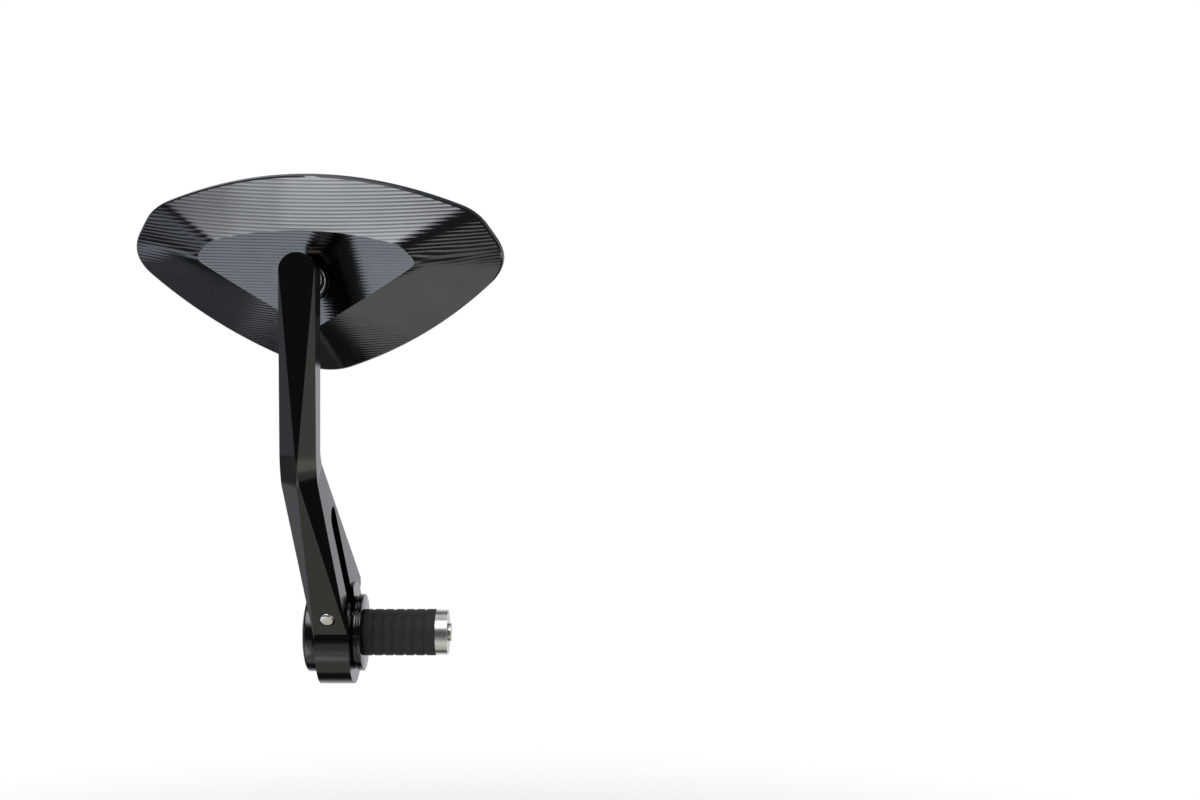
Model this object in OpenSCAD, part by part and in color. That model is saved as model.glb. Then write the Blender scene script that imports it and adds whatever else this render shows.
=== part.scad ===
// Bar end mirror for a motorcycle: a faceted billet head on a ball joint, a bent arm that clamps
// round a turned spigot, and a rubber plug that a taper nut expands inside the end of the handlebar.
// +X runs along the handlebar towards the machine, +Y towards the rider and +Z up. The origin is on
// the bar axis, at the face of the collar that seats against the end of the bar.

/* [Head outline] */
// Half the width of the head, to the corner where the edge lines would meet at each tip
tip_x = 64.3; // [55:0.1:75]
// Height of the tip corners above the ball centre
tip_z = 3.5; // [0:0.1:8]
// Half the distance between the shoulder corners
shoulder_x = 54.15; // [46:0.05:62]
// Height of the shoulder corners above the ball centre
shoulder_z = 19.2; // [15:0.1:24]
// Height of the top edge above the ball centre, at the middle
crown_z = 30.8; // [26:0.1:36]
// Depth of the bottom corner below the ball centre
chin_z = 36.6; // [30:0.1:42]
// Outward bow of each lower edge at its middle
lower_bow = 5.0; // [0:0.1:8]
// Length along each edge that the rounding of a shoulder takes
shoulder_round = 5; // [2:0.5:8]
// Length along each edge that the rounding of a tip takes
tip_round = 9; // [4:0.5:14]
// Length along each edge that the rounding of the bottom takes
chin_round = 8; // [3:0.5:14]

/* [Raised centre] */
// Half the width of the raised flat, to its tip corners
flat_tip_x = 36.8; // [28:0.1:44]
// Height of the tip corners of the raised flat
flat_tip_z = 6; // [3:0.1:9]
// Half the distance between the shoulder corners of the raised flat
flat_shoulder_x = 31.6; // [24:0.1:38]
// Height of the shoulder corners of the raised flat
flat_shoulder_z = 11.9; // [9:0.1:15]
// Height of the top edge of the raised flat, at the middle
flat_crown_z = 16.1; // [13:0.1:20]
// Depth of the bottom corner of the raised flat
flat_chin_z = 17.2; // [13:0.1:22]
// Length along each edge that a rounded corner of the raised flat takes
flat_round = 3; // [1:0.25:5]
// Height of the raised flat above the front edge of the rim
flat_rise = 10.4; // [7:0.1:13]
// Thickness of the rim of the head
rim_t = 2.8; // [2:0.1:5]

/* [Milled rows] */
// Step of the ball cutter from one milled row to the next
row_step = 1.0; // [0.8:0.05:2]
// Depth of a row below the ridge between two rows
row_depth = 0.12; // [0.02:0.01:0.3]

/* [Glass] */
// Width of the rim round the glass
bezel_w = 1.8; // [1:0.1:4]
// Width of the foam tape's margin inside the edge of the glass
tape_margin = 1; // [0.5:0.1:3]
// Depth of the glass seat in the back of the head
glass_seat = 2.6; // [1.8:0.1:4]
// Thickness of the foam tape behind the glass
tape_t = 0.6; // [0.3:0.1:1.2]
// Thickness of the glass at its middle
glass_t = 2.6; // [2:0.1:4]
// Radius of the convex face of the glass
glass_r = 1200; // [600:50:2000]
// Gap round the edge of the glass
glass_gap = 0.3; // [0.1:0.1:1]

/* [Ball joint] */
// Radius of the ball
ball_r = 5.5; // [4:0.1:7]
// Thickness of the plastic seat round the ball
seat_t = 0.55; // [0.4:0.05:1]
// Distance from the ball centre to the raised flat
ball_depth = 3.0; // [2.4:0.1:4]
// Radius of the neck behind the ball
neck_r = 2.5; // [1.5:0.1:3]
// Radius of the thread that holds the ball stud in the arm
stud_r = 3; // [2.5:0.25:3.5]
// Length of thread in the arm
stud_len = 7.5; // [5:0.5:9]
// Thickness of the washer under the ball stud
washer_t = 0.8; // [0.5:0.1:1.2]
// Width of the washer outside the hexagon of the ball stud
washer_lip = 0.5; // [0.2:0.1:0.8]
// Length of the hexagon of the ball stud
hex_len = 2.6; // [2:0.1:3.5]
// Radius over the corners of the hexagon of the ball stud
hex_r = 4.6; // [4:0.1:5]
// Radius of the nose of the socket cup
nose_r = 7.4; // [7:0.1:9]
// Radius of the flange of the socket cup
flange_r = 9.6; // [8.6:0.1:12]
// Thickness of the front wall of the head round the nose
front_wall = 1.9; // [1.2:0.1:3]
// Thickness of the slip washer between the front wall and the flange
slip_t = 0.3; // [0.2:0.1:0.6]
// Length of the flange of the socket cup
flange_len = 5.9; // [4:0.1:7]
// Radius of the screwed ring that closes the cup
closing_r = 7.5; // [7:0.1:8.4]
// Length of the screwed ring that closes the cup
closing_len = 6.4; // [6.2:0.1:7]
// Distance of the front of the screwed ring behind the ball centre
closing_gap = 0.3; // [0.2:0.1:1]
// Width of the chamfer at the mouth of the socket cup
mouth_chamfer = 0.45; // [0.2:0.05:0.8]
// Radius of the hole in the screwed ring
closing_hole_r = 3; // [2:0.1:4]
// Radius of the two spanner holes in the screwed ring
spanner_r = 0.8; // [0.5:0.1:1]
// Depth of the two spanner holes
spanner_depth = 1; // [0.5:0.1:2]
// Thickness of the wave washer
wave_t = 0.5; // [0.3:0.1:0.8]
// Thickness of the retaining ring
clip_t = 0.8; // [0.6:0.1:1.2]
// Width of the opening in the retaining ring
clip_open = 4; // [2:0.5:8]
// Depth of the groove that holds the retaining ring
clip_groove = 0.7; // [0.4:0.1:1.2]

/* [Head position] */
// Angle that the head faces down
head_pitch = 23.4; // [0:0.1:28]
// Angle that the head faces away from the machine
head_yaw = 10; // [0:0.5:16]
// Angle that the head is turned in its own plane
head_spin = -2.1; // [-10:0.1:10]

/* [Arm] */
// Width of the arm along the bar axis
arm_w = 11.2; // [9:0.1:14]
// Sideways offset of the upper end of the arm
arm_offset = 4.6; // [0:0.1:8]
// Angle that the lower length of the arm leans forward
lean = 35; // [25:1:45]
// Distance of the front face of the lower length from the bar axis
front_face = 13; // [12:0.1:15]
// Distance that the upper length stands in front of the bar axis
reach = 55; // [45:0.5:65]
// Height of the ball centre above the bar axis
ball_height = 117.5; // [100:0.5:135]
// Thickness of the upper length from front to back
upper_t = 11.1; // [9:0.1:14]
// Thickness of the lower length where the bend starts
bend_t = 13.1; // [11:0.1:16]
// Thickness of the lower length at the pinch lug
lug_t = 34; // [32:0.5:38]
// Radius of the front of the bend
bend_r = 20; // [16:0.5:28]
// Depth of the side bevels where they meet at the bend
bevel_depth = 2.6; // [1:0.1:4]
// Broken edge along the back corners of the arm
back_break = 0.8; // [0.3:0.1:1.5]
// Distance from the arm to the ball centre
ball_reach = 12.9; // [11:0.1:18]

/* [Clamp] */
// Outer radius of the clamp ring
clamp_r = 17; // [15:0.1:20]
// Height of the pinch screw above the bar axis, along the lower length
pinch_h = 17.4; // [13:0.1:19]
// Half the width of the slot
slot_half = 3.9; // [2:0.1:5]
// Distance from the bar axis to the round end of the slot
slot_end = 53; // [35:0.5:58]
// Height of the foot of the pinch lug
lug_foot = 5.5; // [3:0.5:8]
// Radius of the pinch screw
pinch_r = 2.5; // [2:0.25:3]
// Radius of the head of the pinch screw
pinch_head_r = 4.25; // [3.5:0.05:5]
// Length of the head of the pinch screw
pinch_head_len = 5; // [3:0.5:6]
// Clearance round the pinch screw in its hole
pinch_fit = 0.2; // [0.1:0.05:0.5]
// Depth of the pinch screw's head below the back of the lug
pinch_sunk = 0.4; // [0:0.1:1]
// Chamfer at the tip of the pinch screw
pinch_chamfer = 0.6; // [0.2:0.1:1]
// Chamfer at the heel of the pinch lug
heel_chamfer = 3; // [1:0.5:4]
// Length that the pinch screw stands out of the front face
pinch_proud = 0.6; // [0:0.1:2]

/* [Bar fitting] */
// Radius of the spigot that the clamp turns on
spigot_r = 10; // [8:0.1:12]
// Radius of the collar at the end of the spigot
collar_r = 12.8; // [11:0.1:15]
// Thickness of the collar
collar_t = 1.6; // [1:0.1:3]
// Radius of the loose spacer between the collar and the clamp
spacer_r = 12.2; // [11:0.1:14]
// Thickness of the loose spacer
spacer_t = 1.4; // [0.8:0.1:3]
// Width of the groove round the collar
groove_w = 0.5; // [0.3:0.1:0.8]
// Depth of the groove round the collar
groove_depth = 0.4; // [0.2:0.1:0.8]
// Radius of the end cap
cap_r = 13; // [11:0.1:16]
// Length of the end cap
cap_len = 4.4; // [4:0.1:8]
// Height of the shallow cone on the outside of the end cap
cap_dome = 0.9; // [0.4:0.1:2]
// Width of the shallow cone on the outside of the end cap
cap_cone_w = 3.4; // [2:0.1:5]
// Chamfer round the end cap
cap_chamfer = 0.6; // [0.2:0.1:1]
// Radius of the plug that goes into the bar
plug_r = 7.75; // [6.5:0.05:9]
// Length of the rubber plug
plug_len = 24; // [18:0.5:34]
// Radius of the centre bolt
bolt_r = 3; // [2.5:0.25:4]
// Radius of the head of the centre bolt
bolt_head_r = 5; // [4.5:0.1:6]
// Length of the head of the centre bolt
bolt_head_len = 2.6; // [2:0.1:3]
// Depth of the hexagon socket in the centre bolt
bolt_socket = 2; // [1:0.1:2.4]
// Length of bolt that stands out of the expander nut
bolt_proud = 1; // [0:0.5:3]
// Thickness of the lock washer under the head of the centre bolt
lock_t = 0.8; // [0.5:0.1:1.2]
// Length of the taper on the expander nut
taper_len = 8; // [6:0.5:12]
// Length of the straight end of the expander nut
nut_len = 4; // [3:0.5:8]
// Wall of the expander nut at the thin end of its taper
nut_wall = 1.6; // [1:0.1:3]
// Wall of the rubber plug at its coned mouth
plug_wall = 0.9; // [0.5:0.1:2]

/* [Clearances] */
// Radial clearance where one piece turns in another
turn_fit = 0.05; // [0.02:0.01:0.1]
// Room round the end cap in the side of the arm
cap_room = 0.4; // [0.2:0.1:1]
// Clearance between the flat faces beside the clamp, and round loose fasteners
side_gap = 0.1; // [0.05:0.05:0.3]

/* [Hidden] */
$fn = 72;
clear = 1;          // overshoot of a cut past the face that it opens
corner_steps = 5;   // straight steps in a rounded corner of an outline
land_w = 0.8;       // turned land round the socket, which the rows don't cross
land_fade = 0.6;    // width in which a row reaches its depth beside the land
edge_gap = 0.02;    // distance of the first and the last line of the rows from the outline
relief = 0.2;       // play of a washer in the bore that holds it

// Levels in the head, measured from the ball centre along its normal, with the front positive
flat_n = ball_depth;
rim_n = flat_n - flat_rise;
back_n = rim_n - rim_t;
seat_n = back_n + glass_seat;
wall_n = flat_n - front_wall;
flange_n = wall_n - slip_t;
cup_back_n = flange_n - flange_len;
clip_n = cup_back_n - wave_t;
closing_n = -closing_gap;
seat_r = ball_r + turn_fit + seat_t;
pocket_r = seat_r + turn_fit;
seat_open = 60;     // half angle of the opening in the plastic seat
seat_tail = 0.86;   // share of its radius at which the plastic seat ends behind
flange_bore_r = flange_r + turn_fit;

// Places along the bar axis
clamp_x1 = -collar_t - spacer_t - side_gap;
clamp_x0 = clamp_x1 - arm_w;
clamp_mid = (clamp_x0 + clamp_x1) / 2;
spigot_end = clamp_x0 - side_gap;
cap_x0 = spigot_end - cap_len;
bolt_seat = cap_x0 + bolt_head_len + lock_t;

// Directions of the lower length of the arm, seen along the bar axis as [y, z]
along = [-sin(lean), cos(lean)];
ahead = [-cos(lean), -sin(lean)];
bend_c = [bend_r - reach, (bend_r - front_face - cos(lean) * (bend_r - reach)) / sin(lean)];
bend_h = bend_c * along;
arm_x = clamp_mid - arm_offset;
arm_back = upper_t - reach;
ball_c = [arm_x, arm_back + ball_reach, ball_height];
pinch_tip = front_face + pinch_proud;
lug_slope = (lug_t - bend_t) / (bend_h - lug_foot);
pinch_back = lug_t - front_face - lug_slope * (pinch_h - lug_foot);
pinch_seat = pinch_back - pinch_head_len - pinch_sunk;
pinch_x = clamp_mid - arm_offset * (pinch_h - lug_foot) / (bend_h - lug_foot);
heel_back = lug_t - front_face;
ring_join = clamp_r * 0.65;   // height at which the sides of the arm have left the ring

// A point on a line from a to b that bows out to its right by s at the middle
function bow(a, b, s, t) = let (d = b - a) a + d * t + 4 * s * t * (1 - t) * [d.y, -d.x] / norm(d);
// The point at a distance l from a along the line to b
function step(a, b, l) = a + (b - a) * l / norm(b - a);
// A rounded corner at p that starts at a and ends at b
function corner(a, p, b, n) =
    [for (i = [0:n]) let (t = i / n) a * (1 - t) * (1 - t) + p * 2 * t * (1 - t) + b * t * t];

// Right half of an outline from its bottom to its top: a bowed lower edge, a tip, a short side,
// a shoulder and a bowed top edge
function half_outline(tip, shoulder, crown, chin, low_bow, r_tip, r_shoulder, r_chin) = let (
        chin_p = [0, -chin],
        low = function(t) bow(chin_p, tip, low_bow, t),
        low_len = norm(tip - chin_p),
        high = function(t) [shoulder.x * (1 - t), crown - (crown - shoulder.y) * pow(1 - t, 2)],
        a = low(r_chin / low_len),
        b = low(1 - r_tip / low_len),
        e = high(r_shoulder / shoulder.x))
    concat(
        [for (i = [0:2]) let (t = 0.5 + i / 6)
            [-a.x, a.y] * (1 - t) * (1 - t) + chin_p * 2 * t * (1 - t) + a * t * t],
        [for (i = [1:7]) let (t = i / 8)
            low(r_chin / low_len * (1 - t) + (1 - r_tip / low_len) * t)],
        corner(b, tip, step(tip, shoulder, r_tip), corner_steps + 2),
        corner(step(shoulder, tip, r_shoulder), shoulder, e, corner_steps),
        [for (i = [1:11]) let (t = i / 12) high(r_shoulder / shoulder.x * (1 - t) + t)],
        [[0, crown]]);

rim_half = half_outline([tip_x, tip_z], [shoulder_x, shoulder_z], crown_z, chin_z, lower_bow,
                        tip_round, shoulder_round, chin_round);
flat_half = half_outline([flat_tip_x, flat_tip_z], [flat_shoulder_x, flat_shoulder_z], flat_crown_z,
                         flat_chin_z, 0.3, flat_round, flat_round, flat_round);
rim_low = rim_half[0].y;

// Half widths of the two outlines at a height, and their reach from the ball axis at an angle
rim_by_z = [for (p = rim_half) [p.y, p.x]];
flat_by_z = [for (p = flat_half) [p.y, p.x]];
rim_by_angle = [for (p = rim_half) [atan2(p.y, p.x), norm(p)]];
flat_by_angle = [for (p = flat_half) [atan2(p.y, p.x), norm(p)]];

// Fall of the front face below the raised flat: none on the flat, then straight to the rim
function fall(x, z) = let (
        a = atan2(z, max(abs(x), 0.001)),
        inner = lookup(a, flat_by_angle),
        outer = lookup(a, rim_by_angle))
    flat_rise * min(max((norm([x, z]) - inner) / (outer - inner), 0), 1);

// Depth of the milled row, which fades out on the turned land round the socket
land_r = nose_r + land_w;
function row_cut(x, z, valley) =
    valley ? row_depth * min(max((norm([x, z]) - land_r) / land_fade, 0), 1) : 0;

// Places of the points along half a row, at height z
function row_xs(z) = let (
        w = lookup(z, rim_by_z),
        f = abs(z) < flat_chin_z && z < flat_crown_z ? lookup(z, flat_by_z) : 0,
        first = min(max(f, w * 0.3), w * 0.9),
        land = min(land_r + land_fade, first * 0.6),
        left = w - first)
    [land, (land + first) / 2, first, first + left * 0.2, first + left * 0.4,
     first + left * 0.6, first + left * 0.8, w];

function front_row(z, valley) = let (xs = row_xs(z), n = len(xs))
    [for (i = [-n:n]) let (x = i == 0 ? 0 : sign(i) * xs[abs(i) - 1])
        [x, fall(x, z) + row_cut(x, z, valley) - flat_n, z]];

// One line on each ridge and one in each valley, from the bottom of the head to its top
row_count = floor((crown_z - rim_low) / row_step);
row_lines = concat(
    [[rim_low + edge_gap, false]],
    [for (i = [1:2 * row_count]) [rim_low + i * row_step / 2, i % 2 == 1]],
    [[crown_z - edge_gap, false]]);

// Solid between the milled front face and the flat back of the head
module milled_block() {
    rows = [for (l = row_lines) front_row(l[0], l[1])];
    m = len(rows);
    n = len(rows[0]);
    left = m * n;        // back corners follow the front points, left and right of each row
    top = (m - 1) * n;
    polyhedron(
        concat([for (r = rows, p = r) p],
               [for (r = rows, p = [r[0], r[n - 1]]) [p.x, -back_n, p.z]]),
        concat(
            [for (j = [0:m - 2], i = [0:n - 2]) let (p = j * n + i) each
                [[p, p + n, p + n + 1], [p, p + n + 1, p + 1]]],
            [for (j = [0:m - 2]) let (p = j * n, q = left + 2 * j) each
                [[p, q, q + 2], [p, q + 2, p + n],
                 [p + n - 1, q + 3, q + 1], [p + n - 1, p + 2 * n - 1, q + 3],
                 [q, q + 1, q + 3], [q, q + 3, q + 2]]],
            [for (i = [0:n - 2]) each
                [[i, i + 1, left], [top + i, left + 2 * m - 2, top + i + 1]]],
            [[n - 1, left + 1, left],
             [top + n - 1, left + 2 * m - 2, left + 2 * m - 1]]));
}

// Whole outline of the head, drawn in by w
function mirrored(half) = concat(half, [for (i = [len(half) - 2:-1:1]) [-half[i].x, half[i].y]]);
module head_outline(w) {
    offset(delta = -w) polygon(mirrored(rim_half));
}

// Plate of the head's outline between two levels
module outline_plate(n0, n1, w) {
    translate([0, -n0, 0]) rotate([90, 0, 0]) linear_extrude(n1 - n0) head_outline(w);
}

// Turns a shape drawn with its axis along Z onto the normal of the head
module on_normal() {
    rotate([90, 0, 0]) children();
}

// Tube between two levels on the normal of the head
module turned(n0, n1, r, hole = 0) {
    on_normal() translate([0, 0, n0]) difference() {
        cylinder(h = n1 - n0, r = r);
        if (hole > 0) translate([0, 0, -clear]) cylinder(h = n1 - n0 + 2 * clear, r = hole);
    }
}

// Places for the pieces that hang on the ball
module at_pitch() {
    translate(ball_c) rotate([head_pitch, 0, 0]) children();
}
module at_socket() {
    at_pitch() rotate([0, 0, -head_yaw]) children();
}
module at_head() {
    at_socket() rotate([0, head_spin, 0]) children();
}

// Turns a shape drawn with its axis along Z onto the bar axis, starting at x
module on_bar(x) {
    translate([x, 0, 0]) rotate([0, 90, 0]) children();
}

// Tube along the bar axis between two places
module bar_tube(x0, x1, r, hole = 0) {
    on_bar(x0) difference() {
        cylinder(h = x1 - x0, r = r);
        if (hole > 0) translate([0, 0, -clear]) cylinder(h = x1 - x0 + 2 * clear, r = hole);
    }
}

// Frame of the pinch screw: Z along the screw towards the front face
module on_pinch() {
    translate([pinch_x, pinch_h * along[0], pinch_h * along[1]])
        rotate([90 + lean, 0, 0]) children();
}

bolt_hole_r = bolt_r + side_gap;

// Turned spigot with the grooved collar that seats on the end of the bar
module spigot() {
    color("#1b1b1d") difference() {
        union() {
            bar_tube(spigot_end, 0, spigot_r);
            bar_tube(-collar_t, 0, collar_r);
        }
        bar_tube(spigot_end - clear, clear, bolt_hole_r);
        bar_tube(-(collar_t + groove_w) / 2, -(collar_t - groove_w) / 2, collar_r + clear,
                 collar_r - groove_depth);
    }
}

module spacer_ring() {
    color("#2a2a2c")
        bar_tube(-collar_t - spacer_t, -collar_t, spacer_r, spigot_r + turn_fit);
}

// Cap with a shallow cone outside and a counterbore for the bolt head
module end_cap() {
    color("#161617") difference() {
        on_bar(cap_x0 - cap_dome) rotate_extrude() polygon([
            [0, 0], [cap_r - cap_chamfer - cap_cone_w, 0], [cap_r - cap_chamfer, cap_dome],
            [cap_r, cap_dome + cap_chamfer], [cap_r, cap_dome + cap_len],
            [0, cap_dome + cap_len]]);
        bar_tube(cap_x0 - cap_dome - clear, bolt_seat, bolt_head_r + side_gap);
        bar_tube(bolt_seat - clear, spigot_end + clear, bolt_hole_r);
    }
}

module lock_washer() {
    color("#9a9a9c")
        bar_tube(bolt_seat - lock_t, bolt_seat, bolt_head_r - relief, bolt_hole_r);
}

nut_x0 = plug_len - taper_len;
nut_end = plug_len + nut_len;

// Hexagon socket bolt that runs from the cap to the expander nut
module centre_bolt() {
    head_x = bolt_seat - lock_t - bolt_head_len;
    color("#b8b8ba") difference() {
        union() {
            bar_tube(head_x, bolt_seat - lock_t, bolt_head_r);
            bar_tube(bolt_seat - lock_t, nut_end + bolt_proud, bolt_r);
        }
        on_bar(head_x - clear) cylinder(h = bolt_socket + clear, r = bolt_r * 0.75, $fn = 6);
    }
}

taper_r0 = bolt_r + nut_wall;
taper_r1 = plug_r - plug_wall;
nut_r = plug_r - 5 * turn_fit;

// Rubber plug with a coned mouth for the nut
module expander_plug() {
    color("#202020") difference() {
        bar_tube(0, plug_len, plug_r, bolt_hole_r);
        on_bar(nut_x0) rotate_extrude() polygon([
            [0, 0], [taper_r0 + turn_fit, 0], [taper_r1 + turn_fit, taper_len],
            [taper_r1 + turn_fit, taper_len + clear], [0, taper_len + clear]]);
    }
}

module expander_nut() {
    color("#8c8c8e") difference() {
        on_bar(nut_x0) rotate_extrude() polygon([
            [0, turn_fit], [taper_r0, turn_fit], [taper_r1, taper_len],
            [nut_r, taper_len + turn_fit], [nut_r, taper_len + nut_len],
            [0, taper_len + nut_len]]);
        bar_tube(nut_x0 - clear, nut_end + clear, bolt_r + turn_fit);
    }
}

// Share of the full bevel at a distance from the ridge, and sizes of one section of the arm
thin_bevel = 0.03;
ridge_angle = lean / 2;
bevel_start = ball_height - (bend_c.y - bend_r * sin(ridge_angle));
function bevel_share(d, whole) = min(max(1 - d / whole, thin_bevel), 0.97);

// A section has its place on the front line, its direction, its middle, thickness and bevel share
lower_whole = bend_h + bend_r * ridge_angle * PI / 180 - ring_join;
function lower_station(h) = [front_face * ahead + h * along, ahead,
    clamp_mid - arm_offset * (h - lug_foot) / (bend_h - lug_foot),
    lug_t - lug_slope * (h - lug_foot),
    bevel_share(bend_h + bend_r * ridge_angle * PI / 180 - h, lower_whole)];
function bend_station(a) = [bend_c + bend_r * [-cos(a), -sin(a)], [-cos(a), -sin(a)], arm_x,
    upper_t + (bend_t - upper_t) * a / lean,
    bevel_share(bend_r * abs(a - ridge_angle) * PI / 180, a > ridge_angle ? lower_whole : bevel_start)];
function upper_station(z) = [[-reach, z], [-1, 0], arm_x, upper_t,
    bevel_share(z - bend_c.y + bend_r * ridge_angle * PI / 180, bevel_start)];

arm_stations = concat(
    [lower_station(lug_foot), lower_station(ring_join)],
    [for (a = [lean:-lean / 8:-0.01]) bend_station(a)],
    [upper_station(ball_height), upper_station(ball_height + arm_w / 2)]);

// Points of one section, round from the back left corner
function section(s) = let (
        w = arm_w / 2,
        b = bevel_depth * s[4],
        ridge = w * (1 - s[4]),
        c = back_break,
        pts = [[-w + c, -s[3]], [-w, c - s[3]], [-w, -b], [-ridge, 0], [ridge, 0], [w, -b],
               [w, c - s[3]], [w - c, -s[3]]])
    [for (p = pts) let (q = s[0] + s[1] * p.y) [s[2] + p.x, q.x, q.y]];

module arm_blade() {
    pts = [for (s = arm_stations) each section(s)];
    m = len(arm_stations);
    polyhedron(pts, concat(
        [for (j = [0:m - 2], i = [0:7]) let (a = j * 8 + i, b = j * 8 + (i + 1) % 8) each
            [[a, a + 8, b + 8], [a, b + 8, b]]],
        [[for (i = [0:7]) i]],
        [[for (i = [7:-1:0]) (m - 1) * 8 + i]]));
}

// Bent arm in one piece with its clamp ring, slot, pinch lug and round upper end
module arm() {
    color("#161618") difference() {
        union() {
            arm_blade();
            bar_tube(clamp_x0, clamp_x1, clamp_r);
        }
        bar_tube(clamp_x0 - clear, clamp_x1 + clear, spigot_r + turn_fit);
        // room for the end cap beside the sloping side of the arm
        bar_tube(clamp_x0 - arm_offset, clamp_x0, cap_r + cap_room);
        // chamfered heel of the lug
        rotate([lean, 0, 0]) translate([clamp_mid, heel_back, lug_foot]) rotate([45, 0, 0])
            cube([2 * arm_w, heel_chamfer * sqrt(2), heel_chamfer * sqrt(2)], center = true);
        // slot from the bore to its round end
        rotate([lean, 0, 0]) {
            translate([arm_x - arm_w, -slot_half, 0])
                cube([3 * arm_w, 2 * slot_half, slot_end - slot_half]);
            translate([arm_x - arm_w, 0, slot_end - slot_half]) rotate([0, 90, 0])
                cylinder(h = 3 * arm_w, r = slot_half);
        }
        // pinch screw hole and its counterbore in the lug
        on_pinch() {
            translate([0, 0, -pinch_seat - clear])
                cylinder(h = pinch_seat + front_face + 2 * clear, r = pinch_r + pinch_fit);
            translate([0, 0, -pinch_seat - 2 * pinch_head_len])
                cylinder(h = 2 * pinch_head_len, r = pinch_head_r + side_gap);
        }
        // round upper end, and the tapped hole for the ball stud
        difference() {
            translate([arm_x - arm_w, -reach - clear, ball_height])
                cube([2 * arm_w, upper_t + 2 * clear, arm_w]);
            translate([arm_x, -reach - 2 * clear, ball_height]) rotate([-90, 0, 0])
                cylinder(h = upper_t + 4 * clear, r = arm_w / 2);
        }
        translate([arm_x, arm_back + clear, ball_height]) rotate([90, 0, 0])
            cylinder(h = stud_len + 2 * clear, r = stud_r + turn_fit);
    }
}

module pinch_screw() {
    color("#c9c9cb") on_pinch() difference() {
        union() {
            translate([0, 0, -pinch_seat])
                cylinder(h = pinch_seat + pinch_tip - pinch_chamfer, r = pinch_r);
            translate([0, 0, pinch_tip - pinch_chamfer])
                cylinder(h = pinch_chamfer, r1 = pinch_r, r2 = pinch_r - pinch_chamfer);
            translate([0, 0, -pinch_seat - pinch_head_len])
                cylinder(h = pinch_head_len, r = pinch_head_r);
        }
        translate([0, 0, -pinch_seat - pinch_head_len - clear])
            cylinder(h = pinch_head_len / 2 + clear, r = pinch_r * 0.92, $fn = 6);
    }
}

// Ball, neck, hexagon and threaded end, turned in one
module ball_stud() {
    color("#d0d0d2") {
        translate(ball_c) sphere(r = ball_r);
        translate([arm_x, arm_back - stud_len, ball_height]) rotate([-90, 0, 0]) {
            cylinder(h = stud_len + washer_t, r = stud_r);
            translate([0, 0, stud_len + washer_t]) cylinder(h = hex_len, r = hex_r, $fn = 6);
            translate([0, 0, stud_len + washer_t])
                cylinder(h = ball_reach - washer_t, r = neck_r);
        }
    }
}

module stud_washer() {
    color("#9a9a9c") translate([arm_x, arm_back, ball_height]) rotate([-90, 0, 0]) difference() {
        cylinder(h = washer_t, r = hex_r + washer_lip);
        translate([0, 0, -clear]) cylinder(h = washer_t + 2 * clear, r = stud_r + side_gap);
    }
}

// Plastic seat that snaps over the ball, open at the front for the neck and at the back
module ball_seat() {
    open_n = seat_r * cos(seat_open);
    color("#232325") at_pitch() difference() {
        on_normal() sphere(r = seat_r);
        on_normal() sphere(r = ball_r + turn_fit);
        turned(open_n, seat_r + clear, seat_r);
        turned(-seat_r - clear, -seat_r * seat_tail, seat_r);
    }
}

// Cup that holds the seat in front and whose nose shows as a ring round the ball
module socket_cup() {
    mouth_r = sqrt(pocket_r * pocket_r - flat_n * flat_n);
    color("#26272a") at_socket() difference() {
        union() {
            turned(cup_back_n, flat_n, nose_r);
            turned(cup_back_n, flange_n, flange_r);
        }
        on_normal() sphere(r = pocket_r);
        turned(cup_back_n - clear, closing_n, closing_r + turn_fit);
        on_normal() translate([0, 0, flat_n - mouth_chamfer])
            cylinder(h = 2 * mouth_chamfer, r1 = mouth_r, r2 = mouth_r + 2 * mouth_chamfer);
    }
}

// Ring that screws into the cup behind the seat, with a spanner hole through its back
module closing_ring() {
    color("#3a3a3c") at_socket() difference() {
        turned(closing_n - closing_len, closing_n, closing_r);
        on_normal() sphere(r = pocket_r);
        turned(closing_n - closing_len - clear, 0, closing_hole_r);
        for (side = [-1, 1]) translate([side * (closing_r + closing_hole_r) / 2, 0, 0])
            turned(closing_n - closing_len - clear, closing_n - closing_len + spanner_depth,
                   spanner_r);
    }
}

// Milled billet head with the socket bore through its raised flat and the glass seat behind
module mirror_shell() {
    color("#2e3033") at_head() difference() {
        milled_block();
        turned(wall_n - clear, flat_n + clear, nose_r + turn_fit);
        turned(seat_n - clear, wall_n, flange_bore_r);
        turned(clip_n - clip_t, clip_n, flange_bore_r + clip_groove);
        outline_plate(back_n - clear, seat_n, bezel_w);
    }
}

module slip_washer() {
    color("#e6e6e0") at_head()
        turned(flange_n, wall_n, flange_r - relief, nose_r + side_gap);
}

module wave_washer() {
    color("#8a8a8c") at_head()
        turned(clip_n, cup_back_n, flange_r - relief, closing_r + 2 * relief);
}

// Internal retaining ring, open at the bottom
module retaining_ring() {
    color("#6e6e70") at_head() difference() {
        turned(clip_n - clip_t, clip_n, flange_bore_r + clip_groove - turn_fit, closing_r + 3 * relief);
        translate([-clip_open / 2, -clip_n - clear, -flange_r - 2 * clear])
            cube([clip_open, clip_t + 2 * clear, flange_r - closing_r + 2 * clear]);
    }
}

module foam_tape() {
    color("#3c3c3c") at_head() difference() {
        outline_plate(seat_n - tape_t, seat_n, bezel_w + glass_gap + tape_margin);
        turned(seat_n - tape_t - clear, seat_n + clear, flange_bore_r + clip_groove + relief);
    }
}

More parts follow.
